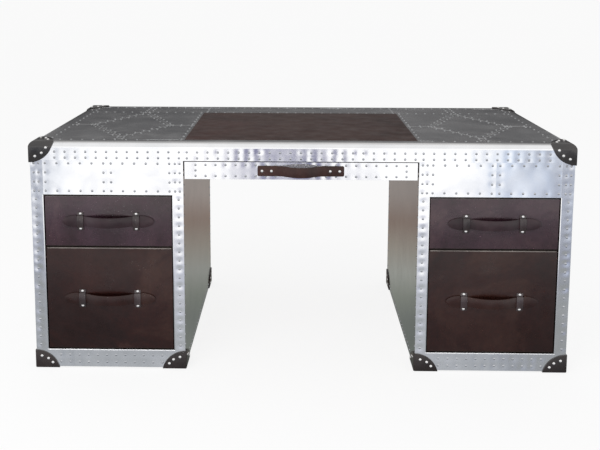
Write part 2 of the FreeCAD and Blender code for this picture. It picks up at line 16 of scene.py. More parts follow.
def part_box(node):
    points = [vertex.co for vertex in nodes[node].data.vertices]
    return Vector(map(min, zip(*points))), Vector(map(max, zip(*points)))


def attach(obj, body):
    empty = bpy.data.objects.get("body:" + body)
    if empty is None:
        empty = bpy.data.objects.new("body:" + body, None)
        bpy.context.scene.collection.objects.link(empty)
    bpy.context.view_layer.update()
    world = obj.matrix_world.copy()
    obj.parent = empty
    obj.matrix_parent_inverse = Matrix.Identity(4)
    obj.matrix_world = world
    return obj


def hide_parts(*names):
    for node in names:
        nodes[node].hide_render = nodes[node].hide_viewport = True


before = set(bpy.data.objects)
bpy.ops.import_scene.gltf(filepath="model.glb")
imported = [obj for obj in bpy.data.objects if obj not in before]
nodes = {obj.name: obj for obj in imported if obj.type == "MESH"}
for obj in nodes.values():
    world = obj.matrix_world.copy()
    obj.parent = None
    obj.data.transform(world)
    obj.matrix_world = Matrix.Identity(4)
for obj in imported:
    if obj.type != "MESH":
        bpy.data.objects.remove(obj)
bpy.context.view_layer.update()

band_low, band_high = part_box("top_edge_band")
HALF_WIDTH = band_high.x
FRONT, BACK = band_low.y, band_high.y
TOP, UNDER = band_high.z, band_low.z
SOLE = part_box("left_floor_panel")[0].z
KNEE = -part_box("left_front_sheets")[1].x
MIDDLE = (FRONT + BACK) / 2
print("frame:", len(nodes), "nodes, desk", round(2 * HALF_WIDTH, 3), "by", round(BACK - FRONT, 3))

# %% [markdown]
# ## Small helpers
# Blender's operators act on whatever is selected, and the frame arrives selected, so each helper first
# clears the selection. A finished piece sits at the origin with its place in its mesh, so that a pattern
# on Object coordinates stays put, and `hand_over` then says which body carries it.

# %% Helpers for objects
SHARP_ANGLE = 35


def select_only(*objects):
    """Select these objects alone and make the first one active."""
    bpy.ops.object.select_all(action="DESELECT")
    for item in objects:
        item.select_set(True)
    bpy.context.view_layer.objects.active = objects[0]


def settle(piece):
    """Move a piece's place, turn and size into its mesh."""
    select_only(piece)
    bpy.ops.object.transform_apply(location=True, rotation=True, scale=True)


def modify(piece, kind, **settings):
    """Add a modifier, set it up and apply it."""
    select_only(piece)
    modifier = piece.modifiers.new(kind.lower(), kind)
    for name, value in settings.items():
        setattr(modifier, name, value)
    bpy.ops.object.modifier_apply(modifier=modifier.name)


def round_edges(piece, width, segments=2, angle=SHARP_ANGLE, smooth=SHARP_ANGLE):
    """Round every edge sharper than one angle in degrees, then shade the piece smooth up to another."""
    modify(piece, "BEVEL", width=width, segments=segments, limit_method="ANGLE",
           angle_limit=math.radians(angle))
    select_only(piece)
    bpy.ops.object.shade_smooth_by_angle(angle=math.radians(smooth))


def copy_of(source, name):
    """A new object with its own copy of a mesh."""
    piece = bpy.data.objects.new(name, source.data.copy())
    bpy.context.scene.collection.objects.link(piece)
    return piece


def join(pieces):
    """Make one object of several."""
    select_only(*pieces)
    if len(pieces) > 1:
        bpy.ops.object.join()
    return pieces[0]


def hand_over(piece, name, body, slot, material, *stands_for):
    """Name a finished piece, give it its material and let a body carry it."""
    piece.name = name
    piece.data.name = name
    piece.data.materials.clear()
    piece.data.materials.append(material)
    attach(piece, body)
    if stands_for:
        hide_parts(*stands_for)
    return piece


print("edges count as sharp from", SHARP_ANGLE, "degrees")

# %% [markdown]
# ## Shader helpers
# A material is a small graph. `add` makes one node and sets its sockets and settings by name, and `wire`
# joins two nodes. Every pattern reads Object coordinates in metres, so a scale of 100 repeats each
# centimetre. A Mix node has number and colour sockets of the same names, so `mix` finds its colours by
# their number.

# %% Helpers for materials
MIX_SHARE, MIX_FIRST, MIX_SECOND = 0, 6, 7
MIXED = 2


def add(tree, kind, **settings):
    """Add a node. A name that is one of its inputs sets that socket, and any other sets a property."""
    made = tree.nodes.new(kind)
    for name, value in settings.items():
        label = name.replace("_", " ")
        if label in made.inputs:
            made.inputs[label].default_value = value
        else:
            setattr(made, name, value)
    return made


def wire(tree, source, output, target, socket):
    """Join an output of one node to a socket of another."""
    tree.links.new(source.outputs[output], target.inputs[socket])


def new_material(name):
    """A material with its shader, and the Object coordinates that its patterns read."""
    material = bpy.data.materials.new(name)
    material.use_nodes = True
    tree = material.node_tree
    shader = tree.nodes["Principled BSDF"]
    place = add(tree, "ShaderNodeTexCoord")
    return material, tree, shader, place


def noise(tree, place, scale, detail=5, roughness=0.55, distortion=0, stretch=None):
    """Clouds of a given scale, stretched along an axis if asked."""
    made = add(tree, "ShaderNodeTexNoise", Scale=scale, Detail=detail, Roughness=roughness,
               Distortion=distortion)
    if stretch:
        mapping = add(tree, "ShaderNodeMapping", Scale=stretch)
        wire(tree, place, "Object", mapping, "Vector")
        wire(tree, mapping, "Vector", made, "Vector")
    else:
        wire(tree, place, "Object", made, "Vector")
    return made


def ramp(tree, source, output, stops):
    """A colour ramp through (position, colour) stops."""
    made = add(tree, "ShaderNodeValToRGB")
    steps = made.color_ramp.elements
    while len(steps) < len(stops):
        steps.new(0.5)
    for step, (position, colour) in zip(steps, stops):
        step.position = position
        step.color = (*colour, 1)
    wire(tree, source, output, made, "Fac")
    return made


def spread(tree, source, output, low, high, start=0.3, end=0.7):
    """Stretch a pattern's middle range to run from low to high."""
    made = add(tree, "ShaderNodeMapRange")
    for socket, value in (("From Min", start), ("From Max", end), ("To Min", low), ("To Max", high)):
        made.inputs[socket].default_value = value
    wire(tree, source, output, made, "Value")
    return made


def mix(tree, kind, first, second, share):
    """Blend two colours by a share, each a (node, output) pair or a plain value. The result is a pair."""
    made = add(tree, "ShaderNodeMix", data_type="RGBA", blend_type=kind)
    for socket, source in ((MIX_FIRST, first), (MIX_SECOND, second), (MIX_SHARE, share)):
        if isinstance(source, tuple) and isinstance(source[0], bpy.types.Node):
            wire(tree, *source, made, socket)
        else:
            made.inputs[socket].default_value = source
    return made, MIXED


def bump(tree, shader, layers):
    """Chain (node, output, strength, distance) layers of relief into the shader's normal."""
    last = None
    for source, output, strength, distance in layers:
        made = add(tree, "ShaderNodeBump", Strength=strength, Distance=distance)
        wire(tree, source, output, made, "Height")
        if last:
            wire(tree, last, "Normal", made, "Normal")
        last = made
    wire(tree, last, "Normal", shader, "Normal")


print("a Mix node blends the colours of sockets", MIX_FIRST, "and", MIX_SECOND)

# %% [markdown]
# ## The finishes
# Polished aluminium has little colour of its own. What the eye reads as metal is the blurred picture of
# the room in it, so the graph only smears the roughness, adds faint cloudy stains and fine scratches,
# and leaves the rest to the sheet's own waves, which are modelled. The rivets are darker and duller than
# the sheets. The fold along the foot of each drawer opening is painted pale and made only a little
# metallic, a painted highlight for the thin bright line that its edge catches.

# %% Metals


def aluminium(name, stain, clean, gloss, metal=1):
    """Polished metal: stained and clean tones in clouds, and a (smooth, dull) range of roughness."""
    material, tree, shader, place = new_material(name)
    shader.inputs["Metallic"].default_value = metal
    clouds = noise(tree, place, 7, detail=6, roughness=0.6, distortion=0.6)
    colour = ramp(tree, clouds, "Fac", ((0.32, stain), (0.62, clean)))
    wire(tree, colour, "Color", shader, "Base Color")
    smears = noise(tree, place, 11, detail=4, roughness=0.5)
    dullness = spread(tree, smears, "Fac", *gloss)
    wire(tree, dullness, "Result", shader, "Roughness")
    scratches = noise(tree, place, 1400, detail=2)
    bump(tree, shader, ((scratches, "Fac", 0.03, 0.0001),))
    return material


SHEET_ALUMINIUM = aluminium("sheet_aluminium", stain=(0.82, 0.825, 0.84), clean=(0.91, 0.91, 0.92),
                            gloss=(0.08, 0.17))
RIVET_ALUMINIUM = aluminium("rivet_aluminium", stain=(0.44, 0.45, 0.48), clean=(0.60, 0.605, 0.63),
                            gloss=(0.14, 0.26))
WORN_RIVET_ALUMINIUM = aluminium("worn_rivet_aluminium", stain=(0.24, 0.245, 0.25),
                                 clean=(0.37, 0.375, 0.385), gloss=(0.24, 0.4))
# Painted highlight: a pale, barely metallic finish that makes the fold along each opening's foot a thin
# bright line.
PALE_HIGHLIGHT_ALUMINIUM = aluminium("pale_highlight_aluminium", stain=(0.84, 0.85, 0.88), clean=(0.93, 0.94, 0.95),
                             gloss=(0.4, 0.52), metal=0.2)


def nail_chrome():
    """The bright domed nails, with a little tarnish."""
    material, tree, shader, place = new_material("nail_chrome")
    shader.inputs["Metallic"].default_value = 1
    tarnish = noise(tree, place, 240, detail=4)
    colour = ramp(tree, tarnish, "Fac", ((0.3, (0.72, 0.71, 0.70)), (0.6, (0.93, 0.92, 0.91))))
    wire(tree, colour, "Color", shader, "Base Color")
    gloss = spread(tree, tarnish, "Fac", 0.08, 0.2)
    wire(tree, gloss, "Result", shader, "Roughness")
    return material


NAIL_CHROME = nail_chrome()
print("metals:", SHEET_ALUMINIUM.name, RIVET_ALUMINIUM.name, NAIL_CHROME.name)

# %% [markdown]
# Aged leather is the opposite: nearly all of its look is in the colour, in dark patches where oil has
# soaked in, worn lighter clouds and a fine pebble grain. One graph serves every hide on the desk, and only
# its browns and its shine change from the drawers to the writing panel, the guards and the straps.

# %% Leathers


def leather(name, oiled, body, worn, flush, gloss=(0.38, 0.6), shine_level=0.34):
    """Aged hide: oiled, body and worn browns in clouds, with a reddish or bluish flush here and there."""
    material, tree, shader, place = new_material(name)
    clouds = noise(tree, place, 4.2, detail=8, roughness=0.62, distortion=0.9)
    base = ramp(tree, clouds, "Fac", ((0.37, oiled), (0.5, body), (0.64, worn)))
    patches = noise(tree, place, 2.3, detail=3, distortion=0.4)
    tint = ramp(tree, patches, "Fac", ((0.45, body), (0.66, flush)))
    share = spread(tree, patches, "Fac", 0, 0.55, 0.45, 0.68)
    tinted = mix(tree, "MIX", (base, "Color"), (tint, "Color"), (share, "Result"))
    mottle = noise(tree, place, 55, detail=6, roughness=0.7)
    speck = ramp(tree, mottle, "Fac", ((0.3, (0.72, 0.72, 0.72)), (0.7, (1.22, 1.2, 1.18))))
    colour = mix(tree, "MULTIPLY", tinted, (speck, "Color"), 0.85)
    wire(tree, *colour, shader, "Base Color")
    wear = noise(tree, place, 18, detail=5)
    shine = spread(tree, wear, "Fac", *gloss)
    wire(tree, shine, "Result", shader, "Roughness")
    shader.inputs["Specular IOR Level"].default_value = shine_level
    pebbles = add(tree, "ShaderNodeTexVoronoi", feature="DISTANCE_TO_EDGE", Scale=520, Randomness=0.9)
    wire(tree, place, "Object", pebbles, "Vector")
    creases = noise(tree, place, 90, detail=6, roughness=0.6, distortion=1.5)
    swells = noise(tree, place, 13, detail=3)
    bump(tree, shader, ((swells, "Fac", 0.35, 0.004), (creases, "Fac", 0.35, 0.0007),
                        (pebbles, "Distance", 0.3, 0.0003)))
    return material


# Painted light and shade: the upper drawers' hide is painted lighter and greyer and the lower drawers' hide
# darker and redder, lit and shaded copies of one leather for the light that falls off towards the floor.
# The lower hide also serves the lower straps.
LIT_UPPER_LEATHER = leather("lit_upper_drawer_leather", (0.017, 0.0058, 0.0088), (0.029, 0.0110, 0.0175),
                        (0.050, 0.026, 0.030), (0.046, 0.022, 0.036), gloss=(0.2, 0.34), shine_level=0.72)
SHADED_LOWER_LEATHER = leather("shaded_lower_drawer_leather", (0.0085, 0.0013, 0.0009), (0.0152, 0.0027, 0.0018),
                        (0.032, 0.0130, 0.0092), (0.024, 0.0066, 0.0046), gloss=(0.24, 0.4),
                        shine_level=0.42)
# Painted highlight: pale leathers for the strip along each drawer's top fold, standing for the light that
# the rounded edge catches. The lower drawers' strip is painted brighter.
UPPER_EDGE_HIGHLIGHT = leather("upper_edge_highlight", (0.055, 0.048, 0.050), (0.080, 0.071, 0.074),
                             (0.115, 0.104, 0.106), (0.090, 0.080, 0.084))
LOWER_EDGE_HIGHLIGHT = leather("lower_edge_highlight", (0.11, 0.096, 0.090), (0.17, 0.152, 0.142),
                             (0.24, 0.218, 0.205), (0.19, 0.168, 0.162))
INSET_LEATHER = leather("inset_leather", (0.025, 0.0110, 0.0090), (0.038, 0.0172, 0.0140),
                        (0.053, 0.0285, 0.0235), (0.052, 0.0200, 0.0180), shine_level=0.18)
GUARD_LEATHER = leather("guard_leather", (0.005, 0.0035, 0.0035), (0.009, 0.0065, 0.006),
                        (0.018, 0.013, 0.012), (0.014, 0.009, 0.009), gloss=(0.14, 0.28), shine_level=0.95)
FOOT_GUARD_LEATHER = leather("foot_guard_leather", (0.006, 0.0030, 0.0026), (0.011, 0.0062, 0.0054),
                             (0.021, 0.0125, 0.0110), (0.016, 0.0075, 0.0070), gloss=(0.2, 0.36),
                             shine_level=0.55)
STRAP_LEATHER = leather("strap_leather", (0.013, 0.0058, 0.0075), (0.024, 0.0112, 0.0145),
                        (0.042, 0.0240, 0.0265), (0.038, 0.019, 0.0280), gloss=(0.26, 0.42),
                        shine_level=0.46)
KEEPER_LEATHER = leather("keeper_leather", (0.012, 0.0062, 0.0066), (0.023, 0.0125, 0.0135),
                         (0.044, 0.0290, 0.0300), (0.034, 0.019, 0.0205), gloss=(0.16, 0.3),
                         shine_level=0.75)
RED_STRAP_LEATHER = leather("red_strap_leather", (0.020, 0.0085, 0.007), (0.037, 0.0162, 0.0132),
                            (0.058, 0.0275, 0.0225), (0.054, 0.022, 0.0185), gloss=(0.3, 0.46))
SUEDE = leather("suede", (0.60, 0.58, 0.62), (0.70, 0.68, 0.72), (0.78, 0.76, 0.80), (0.70, 0.68, 0.74),
                gloss=(0.8, 0.95), shine_level=0.1)
print("leathers:", LIT_UPPER_LEATHER.name, SHADED_LOWER_LEATHER.name, INSET_LEATHER.name, STRAP_LEATHER.name)

# %% [markdown]
# The boards show only in the gaps, under the top and when a drawer is open, so a plain sawn wood will do:
# clouds stretched along the grain make its streaks, and finer ones its pores.

# %% Woods


def wood(name, dark, light, grain):
    """Plain-sawn board: long streaks along the grain axis and fine pores."""
    material, tree, shader, place = new_material(name)
    streaks = noise(tree, place, 26, detail=7, roughness=0.6, distortion=0.5, stretch=grain)
    colour = ramp(tree, streaks, "Fac", ((0.3, dark), (0.7, light)))
    wire(tree, colour, "Color", shader, "Base Color")
    gloss = spread(tree, streaks, "Fac", 0.62, 0.45)
    wire(tree, gloss, "Result", shader, "Roughness")
    pores = noise(tree, place, 380, detail=3, stretch=grain)
    bump(tree, shader, ((pores, "Fac", 0.25, 0.0004),))
    return material


ALONG_DEPTH = (1, 0.06, 1)
ALONG_HEIGHT = (1, 1, 0.06)
CARCASS_WOOD = wood("carcass_wood", (0.20, 0.12, 0.066), (0.34, 0.22, 0.13), ALONG_HEIGHT)
DRAWER_WOOD = wood("drawer_wood", (0.33, 0.21, 0.115), (0.52, 0.37, 0.23), ALONG_DEPTH)
RUNNER_WOOD = wood("runner_wood", (0.28, 0.15, 0.075), (0.42, 0.25, 0.14), ALONG_DEPTH)
# Painted shade: a near-black wood for the boards whose edges show in the drawer gaps, standing for the
# shadow there.
GAP_SHADE_WOOD = wood("gap_shade_wood", (0.010, 0.006, 0.0045), (0.024, 0.015, 0.011), ALONG_HEIGHT)
print("woods:", CARCASS_WOOD.name, DRAWER_WOOD.name, RUNNER_WOOD.name, GAP_SHADE_WOOD.name)

# %% [markdown]
# ## Finishing the frame's own boards
# Boards, runners and nails already have the right shape, so they stay and only get a finish. The boards
# round the drawer openings and the drawers' front boards are painted near black, a painted shade for the
# dark shadow in the gaps where their edges show. The rest of the frame, its thin sheets and its leather,
# is replaced below.

# %% Boards and nails
FINISHES = {
    "_box": DRAWER_WOOD,
    "_front": GAP_SHADE_WOOD,
    "_face_frame": GAP_SHADE_WOOD,
    "_runners": RUNNER_WOOD,
    "_nails": NAIL_CHROME,
}
for node_name, item in nodes.items():
    finish = next((FINISHES[end] for end in FINISHES if node_name.endswith(end)), CARCASS_WOOD)
    item.data.materials.clear()
    item.data.materials.append(finish)
print("finished", len(nodes), "nodes of the frame")

# %% [markdown]
# ## Rivets
# Rivets are counted by the hundred, so the one that is modelled has few faces: the top half of a sphere,
# flattened. A row is an Array modifier, as a maker would step along a seam with a spacing gauge.
#
# A place on a face is given by two numbers, along and up. `FACINGS` says how the face is turned, and
# `on_face` gives the point in the desk's own axes.

# %% One rivet, and rows of it
RIVET_RADIUS = 0.0044
RIVET_DOME = 0.0021
RIVET_ROOT = 0.0009
RIVET_SIDES = 10
RIVET_RINGS = 8
CROWDED = 0.010
QUARTER = math.radians(90)

FACINGS = {
    "front": (QUARTER, 0, 0),
    "back": (QUARTER, 0, 2 * QUARTER),
    "left": (QUARTER, 0, -QUARTER),
    "right": (QUARTER, 0, QUARTER),
    "top": (0, 0, 0),
}


def on_face(facing, plane, along, up):
    """The point, in the desk's axes, of a place on a face."""
    if facing in ("front", "back"):
        return Vector((along, plane, up))
    if facing in ("left", "right"):
        return Vector((plane, along, up))
    return Vector((along, up, plane))


def model_rivet():
    """Half a sphere, flattened to a dome, with its root sunk into the sheet."""
    bpy.ops.object.select_all(action="DESELECT")
    bpy.ops.mesh.primitive_uv_sphere_add(segments=RIVET_SIDES, ring_count=RIVET_RINGS, radius=1)
    dome = bpy.context.object
    bpy.ops.object.mode_set(mode="EDIT")
    bpy.ops.mesh.select_all(action="SELECT")
    bpy.ops.mesh.bisect(plane_co=(0, 0, 0), plane_no=(0, 0, 1), clear_inner=True)
    bpy.ops.mesh.select_all(action="SELECT")
    bpy.ops.transform.resize(value=(RIVET_RADIUS, RIVET_RADIUS, RIVET_DOME + RIVET_ROOT),
                             center_override=(0, 0, 0))
    bpy.ops.transform.translate(value=(0, 0, -RIVET_ROOT))
    bpy.ops.object.mode_set(mode="OBJECT")
    bpy.ops.object.shade_smooth()
    return dome


RIVET = model_rivet()


def rivet_row(facing, plane, start, end, count):
    """A row of rivets from one (along, up) place to another."""
    row = copy_of(RIVET, "rivet_row")
    first = on_face(facing, plane, *start)
    row.rotation_euler = FACINGS[facing]
    row.location = first
    settle(row)
    if count > 1:
        step = (on_face(facing, plane, *end) - first) / (count - 1)
        modify(row, "ARRAY", count=count, use_relative_offset=False, use_constant_offset=True,
               constant_offset_displace=step)
    return row


def row_places(row):
    """The (along, up) places of a (start, end, count) row."""
    start, end, count = (Vector(row[0]), Vector(row[1]), row[2])
    return [start.lerp(end, number / max(count - 1, 1)) for number in range(count)]


def spaced_row(start, end, pitch):
    """A row between two places with about the given pitch."""
    length = (Vector(end) - Vector(start)).length
    return start, end, round(length / pitch) + 1


def set_rivets(facing, plane, rows):
    """Rows of rivets and their places. A rivet that would crowd an earlier one is left out."""
    made, taken = [], []
    for row in rows:
        places = row_places(row)
        free = [place for place in places if all((place - other).length > CROWDED for other in taken)]
        taken += free
        if len(free) == len(places):
            made.append(rivet_row(facing, plane, *row))
        else:
            made += [rivet_row(facing, plane, place, place, 1) for place in free]
    return made, taken


print("one rivet has", len(RIVET.data.polygons), "faces")

# %% [markdown]
# ## Sheet metal
# Each aluminium sheet is a fine grid. A thin sheet that is riveted to a board is never quite flat: it is
# drawn in at every rivet and swells between them, which is what makes the reflections ripple. Both are
# modelled. Vertices near a rivet are weighted in a vertex group, a Displace modifier pulls them in by up to
# 0.6 mm, more at one rivet and less at the next, and a second one adds slow waves. The rim is then extruded
# back to the board and filled, so that the sheet is a closed piece.

# %% A riveted sheet
SHEET = 0.0015
SHEET_GRID = 0.005
DIMPLE_REACH = 0.0095
DIMPLE_DEPTH = 0.0006
SLIGHT_DIMPLE = 0.0003
PULL_RANGE = (0.1, 1.0)
LEAST_WEIGHT = 0.01
WAVE_HEIGHT = 0.0011
SLIGHT_WAVE = 0.0005
WAVE_LENGTH = 0.13
RIM = 0.00012
RIM_ANGLE = 50
RIM_SMOOTH = 25

WAVES = bpy.data.textures.new("sheet_waves", "CLOUDS")
WAVES.noise_scale = WAVE_LENGTH
WAVES.noise_depth = 1
rivet_counts = []


def dimple(sheet, places, depth):
    """Weight each vertex by how near a rivet it is, and draw the sheet in there, by more or by less."""
    tree = kdtree.KDTree(len(places))
    for number, place in enumerate(places):
        tree.insert(place, number)
    tree.balance()
    pull = random.Random(len(places))
    pulls = [pull.uniform(*PULL_RANGE) for _ in places]
    near = sheet.vertex_groups.new(name="dimples")
    for vertex in sheet.data.vertices:
        _, number, distance = tree.find(vertex.co)
        weight = pulls[number] * math.exp(-((distance / DIMPLE_REACH) ** 2))
        if weight > LEAST_WEIGHT:
            near.add([vertex.index], weight, "REPLACE")
    modify(sheet, "DISPLACE", vertex_group="dimples", strength=-depth, mid_level=0)
    sheet.vertex_groups.clear()


def thicken(sheet, inwards):
    """Extrude the sheet's rim back to the board and fill it there."""
    select_only(sheet)
    bpy.ops.object.mode_set(mode="EDIT")
    bpy.ops.mesh.select_all(action="SELECT")
    bpy.ops.mesh.region_to_loop()
    bpy.ops.mesh.extrude_region_move(TRANSFORM_OT_translate={"value": inwards})
    bpy.ops.mesh.edge_face_add()
    bpy.ops.mesh.select_all(action="SELECT")
    bpy.ops.mesh.normals_make_consistent(inside=False)
    bpy.ops.object.mode_set(mode="OBJECT")


def flat_sheet(facing, plane, along, up, grid=SHEET_GRID, lean=0):
    """A fine grid in the plane of a face, from (low, high) pairs along and up, turned by its lean."""
    bpy.ops.object.select_all(action="DESELECT")
    width, height = along[1] - along[0], up[1] - up[0]
    bpy.ops.mesh.primitive_grid_add(x_subdivisions=max(2, round(width / grid)),
                                    y_subdivisions=max(2, round(height / grid)), size=1)
    sheet = bpy.context.object
    sheet.scale = (width, height, 1)
    sheet.rotation_euler = FACINGS[facing]
    sheet.rotation_euler.z += lean
    sheet.location = on_face(facing, plane, sum(along) / 2, sum(up) / 2)
    settle(sheet)
    return sheet


def outward(facing):
    """The direction that a face looks in."""
    return (Matrix.Rotation(FACINGS[facing][2], 3, "Z") @ Matrix.Rotation(FACINGS[facing][0], 3, "X")
            @ Vector((0, 0, 1)))


def clad(name, sheet, facing, plane, rows, *stands_for, body="desk", thickness=SHEET, depth=DIMPLE_DEPTH,
         waves=WAVE_HEIGHT):
    """Dimple, wave, thicken and rivet a flat sheet, then hand it over with its rivets."""
    rivets, taken = set_rivets(facing, plane, rows)
    rivet_counts.append(len(taken))
    if taken:
        dimple(sheet, [on_face(facing, plane, *place) for place in taken], depth)
    modify(sheet, "DISPLACE", texture=WAVES, texture_coords="GLOBAL", strength=waves, mid_level=0.5)
    thicken(sheet, -thickness * outward(facing))
    round_edges(sheet, RIM, segments=1, angle=RIM_ANGLE, smooth=RIM_SMOOTH)
    hand_over(sheet, name, body, "aluminium", SHEET_ALUMINIUM, *stands_for)
    if rivets:
        finish = WORN_RIVET_ALUMINIUM if facing == "top" else RIVET_ALUMINIUM
        hand_over(join(rivets), f"{name}_rivets", body, "aluminium", finish)


def riveted_sheet(name, facing, plane, along, up, rows, *stands_for, grid=SHEET_GRID, lean=0, **cladding):
    """Make a flat sheet and clad it."""
    sheet = flat_sheet(facing, plane, sorted(along), sorted(up), grid, lean)
    clad(name, sheet, facing, plane, rows, *stands_for, **cladding)


print("a sheet has a vertex every", SHEET_GRID, "m and waves", WAVE_LENGTH, "m long")

# %% [markdown]
# ## The front of each pedestal
# The front is clad in five strips: an outer and an inner stile that run from floor to top, two apron
# sheets that meet above the drawers under a double row of rivets, and a bottom rail. The stiles have two
# columns of rivets beside the apron and one column beside the drawers. The outer stile leans by less than
# a degree, as a sheet that is pulled round a corner does, and so mirrors a darker part of the studio. The
# right pedestal mirrors the left, so one loop makes both with a sign.

# %% Pedestal fronts
SIDES = (("left", -1), ("right", 1))
APRON_ROWS = (0.709, 0.678, 0.646, 0.616)
APRON_COUNT = 6
APRON_MARGIN = 0.0085
SEAM_MARGIN = 0.0125
STILE_TWIN = (0.0115, 0.027)
STILE_SINGLE = 0.016
STILE_PITCH = 0.030
STILE_START = 0.015
RAIL_ROWS = (0.046, 0.021)
RAIL_MARGIN = 0.042
RAIL_PITCH = 0.0315
GUARD_CLEAR = 0.078
GAP = 0.003
STILE_GRID = 0.004
STILE_LEAN = 0.012
MEDIUM_DIMPLE = 0.0005

for side, sign in SIDES:
    face_low, face_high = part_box(f"{side}_upper_drawer_face")
    open_edges = sorted((abs(face_low.x), abs(face_high.x)))
    open_in, open_out = open_edges[0] - GAP, open_edges[1] + GAP
    open_top = face_high.z + GAP
    open_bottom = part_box(f"{side}_lower_drawer_face")[0].z - GAP
    stands_for = f"{side}_front_sheets"

    for place, edge, inner_edge, into in (("outer", HALF_WIDTH, open_out, -1), ("inner", KNEE, open_in, 1)):
        columns = [sign * (edge + into * offset) for offset in STILE_TWIN]
        twin = [((x, APRON_ROWS[0]), (x, APRON_ROWS[-1]), len(APRON_ROWS)) for x in columns]
        x = sign * (edge + into * STILE_SINGLE)
        single = spaced_row((x, open_top - STILE_START), (x, SOLE + GUARD_CLEAR), STILE_PITCH)
        riveted_sheet(f"{side}_{place}_stile_sheet", "front", FRONT, (sign * edge, sign * inner_edge),
                      (SOLE, UNDER), twin + [single], stands_for, grid=STILE_GRID,
                      depth=MEDIUM_DIMPLE if place == "outer" else DIMPLE_DEPTH,
                      lean=sign * STILE_LEAN if place == "outer" else 0)

    seam = (open_in + open_out) / 2
    for place, edge in (("outer", open_out), ("inner", open_in)):
        outside = edge - math.copysign(APRON_MARGIN, edge - seam)
        inside = seam + math.copysign(SEAM_MARGIN, edge - seam)
        levels = [((sign * outside, z), (sign * inside, z), APRON_COUNT)
                  for z in (APRON_ROWS[0], APRON_ROWS[-1])]
        posts = [((sign * x, APRON_ROWS[1]), (sign * x, APRON_ROWS[2]), 2) for x in (outside, inside)]
        riveted_sheet(f"{side}_{place}_apron_sheet", "front", FRONT, (sign * edge, sign * seam),
                      (open_top, UNDER), levels + posts, stands_for, depth=SLIGHT_DIMPLE)

    rail_rows = [spaced_row((sign * (open_out - RAIL_MARGIN), z), (sign * (open_in + RAIL_MARGIN), z),
                            RAIL_PITCH) for z in RAIL_ROWS]
    riveted_sheet(f"{side}_rail_sheet", "front", FRONT, (sign * open_out, sign * open_in),
                  (SOLE, open_bottom), rail_rows, stands_for, depth=SLIGHT_DIMPLE)
print("rivets on the pedestals' fronts:", sum(rivet_counts))

# %% [markdown]
# The sheets are folded over at the drawer opening. The folds at the sides are as bright as the sheet, and
# the one along the bottom is painted pale and barely metallic, a painted highlight for the thin line of
# light that it catches.

# %% Folded edges of the openings
FOLD_WIDTH = 0.003
FOLD_PROUD = 0.0012
FOLD_DEEP = 0.004


def rounded_bar(low, high, rounding):
    """A bar between two corners with rounded edges."""
    low, high = Vector(low), Vector(high)
    bpy.ops.object.select_all(action="DESELECT")
    bpy.ops.mesh.primitive_cube_add(size=1, location=(low + high) / 2)
    bar = bpy.context.object
    bar.scale = high - low
    settle(bar)
    round_edges(bar, rounding, segments=3)
    return bar


near, far = FRONT - FOLD_PROUD, FRONT + FOLD_DEEP
for side in ("left", "right"):
    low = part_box(f"{side}_lower_drawer_face")[0] - Vector((GAP, 0, GAP))
    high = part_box(f"{side}_upper_drawer_face")[1] + Vector((GAP, 0, GAP))
    uprights = [
        rounded_bar((low.x - FOLD_WIDTH, near, low.z), (low.x, far, high.z), FOLD_PROUD),
        rounded_bar((high.x, near, low.z), (high.x + FOLD_WIDTH, far, high.z), FOLD_PROUD),
    ]
    hand_over(join(uprights), f"{side}_side_folds", "desk", "aluminium", SHEET_ALUMINIUM)
    sill = rounded_bar((low.x - FOLD_WIDTH, near, low.z - FOLD_WIDTH), (high.x + FOLD_WIDTH, far, low.z),
                       FOLD_PROUD)
    hand_over(sill, f"{side}_sill_fold", "desk", "aluminium", PALE_HIGHLIGHT_ALUMINIUM)
print("folds on each opening:", len(uprights) + 1)

# %% [markdown]
# ## The rim of the top
# A smooth band is bent over the edge of the top. Metal that is beaten over an edge is never a true quarter
# circle: it starts to fall well before the edge, slowly and then faster. So the band starts as a low block,
# and its top face is inset again and again, each ring narrower and a little higher, on that slow curve.
# Then the middle is opened for the sheets and the leather, and the shell gets its thickness.

# %% Edge band
CROWN_REACH = 0.050
CROWN_FALL = 0.018
CROWN_RINGS = 14
CROWN_POWER = 2.6
SAME_WAY = 0.99


def select_faces_towards(piece, direction):
    """Leave a piece in edit mode with only the faces that point a given way selected."""
    select_only(piece)
    bpy.ops.object.mode_set(mode="EDIT")
    bpy.ops.mesh.select_mode(type="FACE")
    bpy.ops.mesh.select_all(action="DESELECT")
    bpy.ops.object.mode_set(mode="OBJECT")
    for face in piece.data.polygons:
        face.select = face.normal.dot(direction) > SAME_WAY
    bpy.ops.object.mode_set(mode="EDIT")


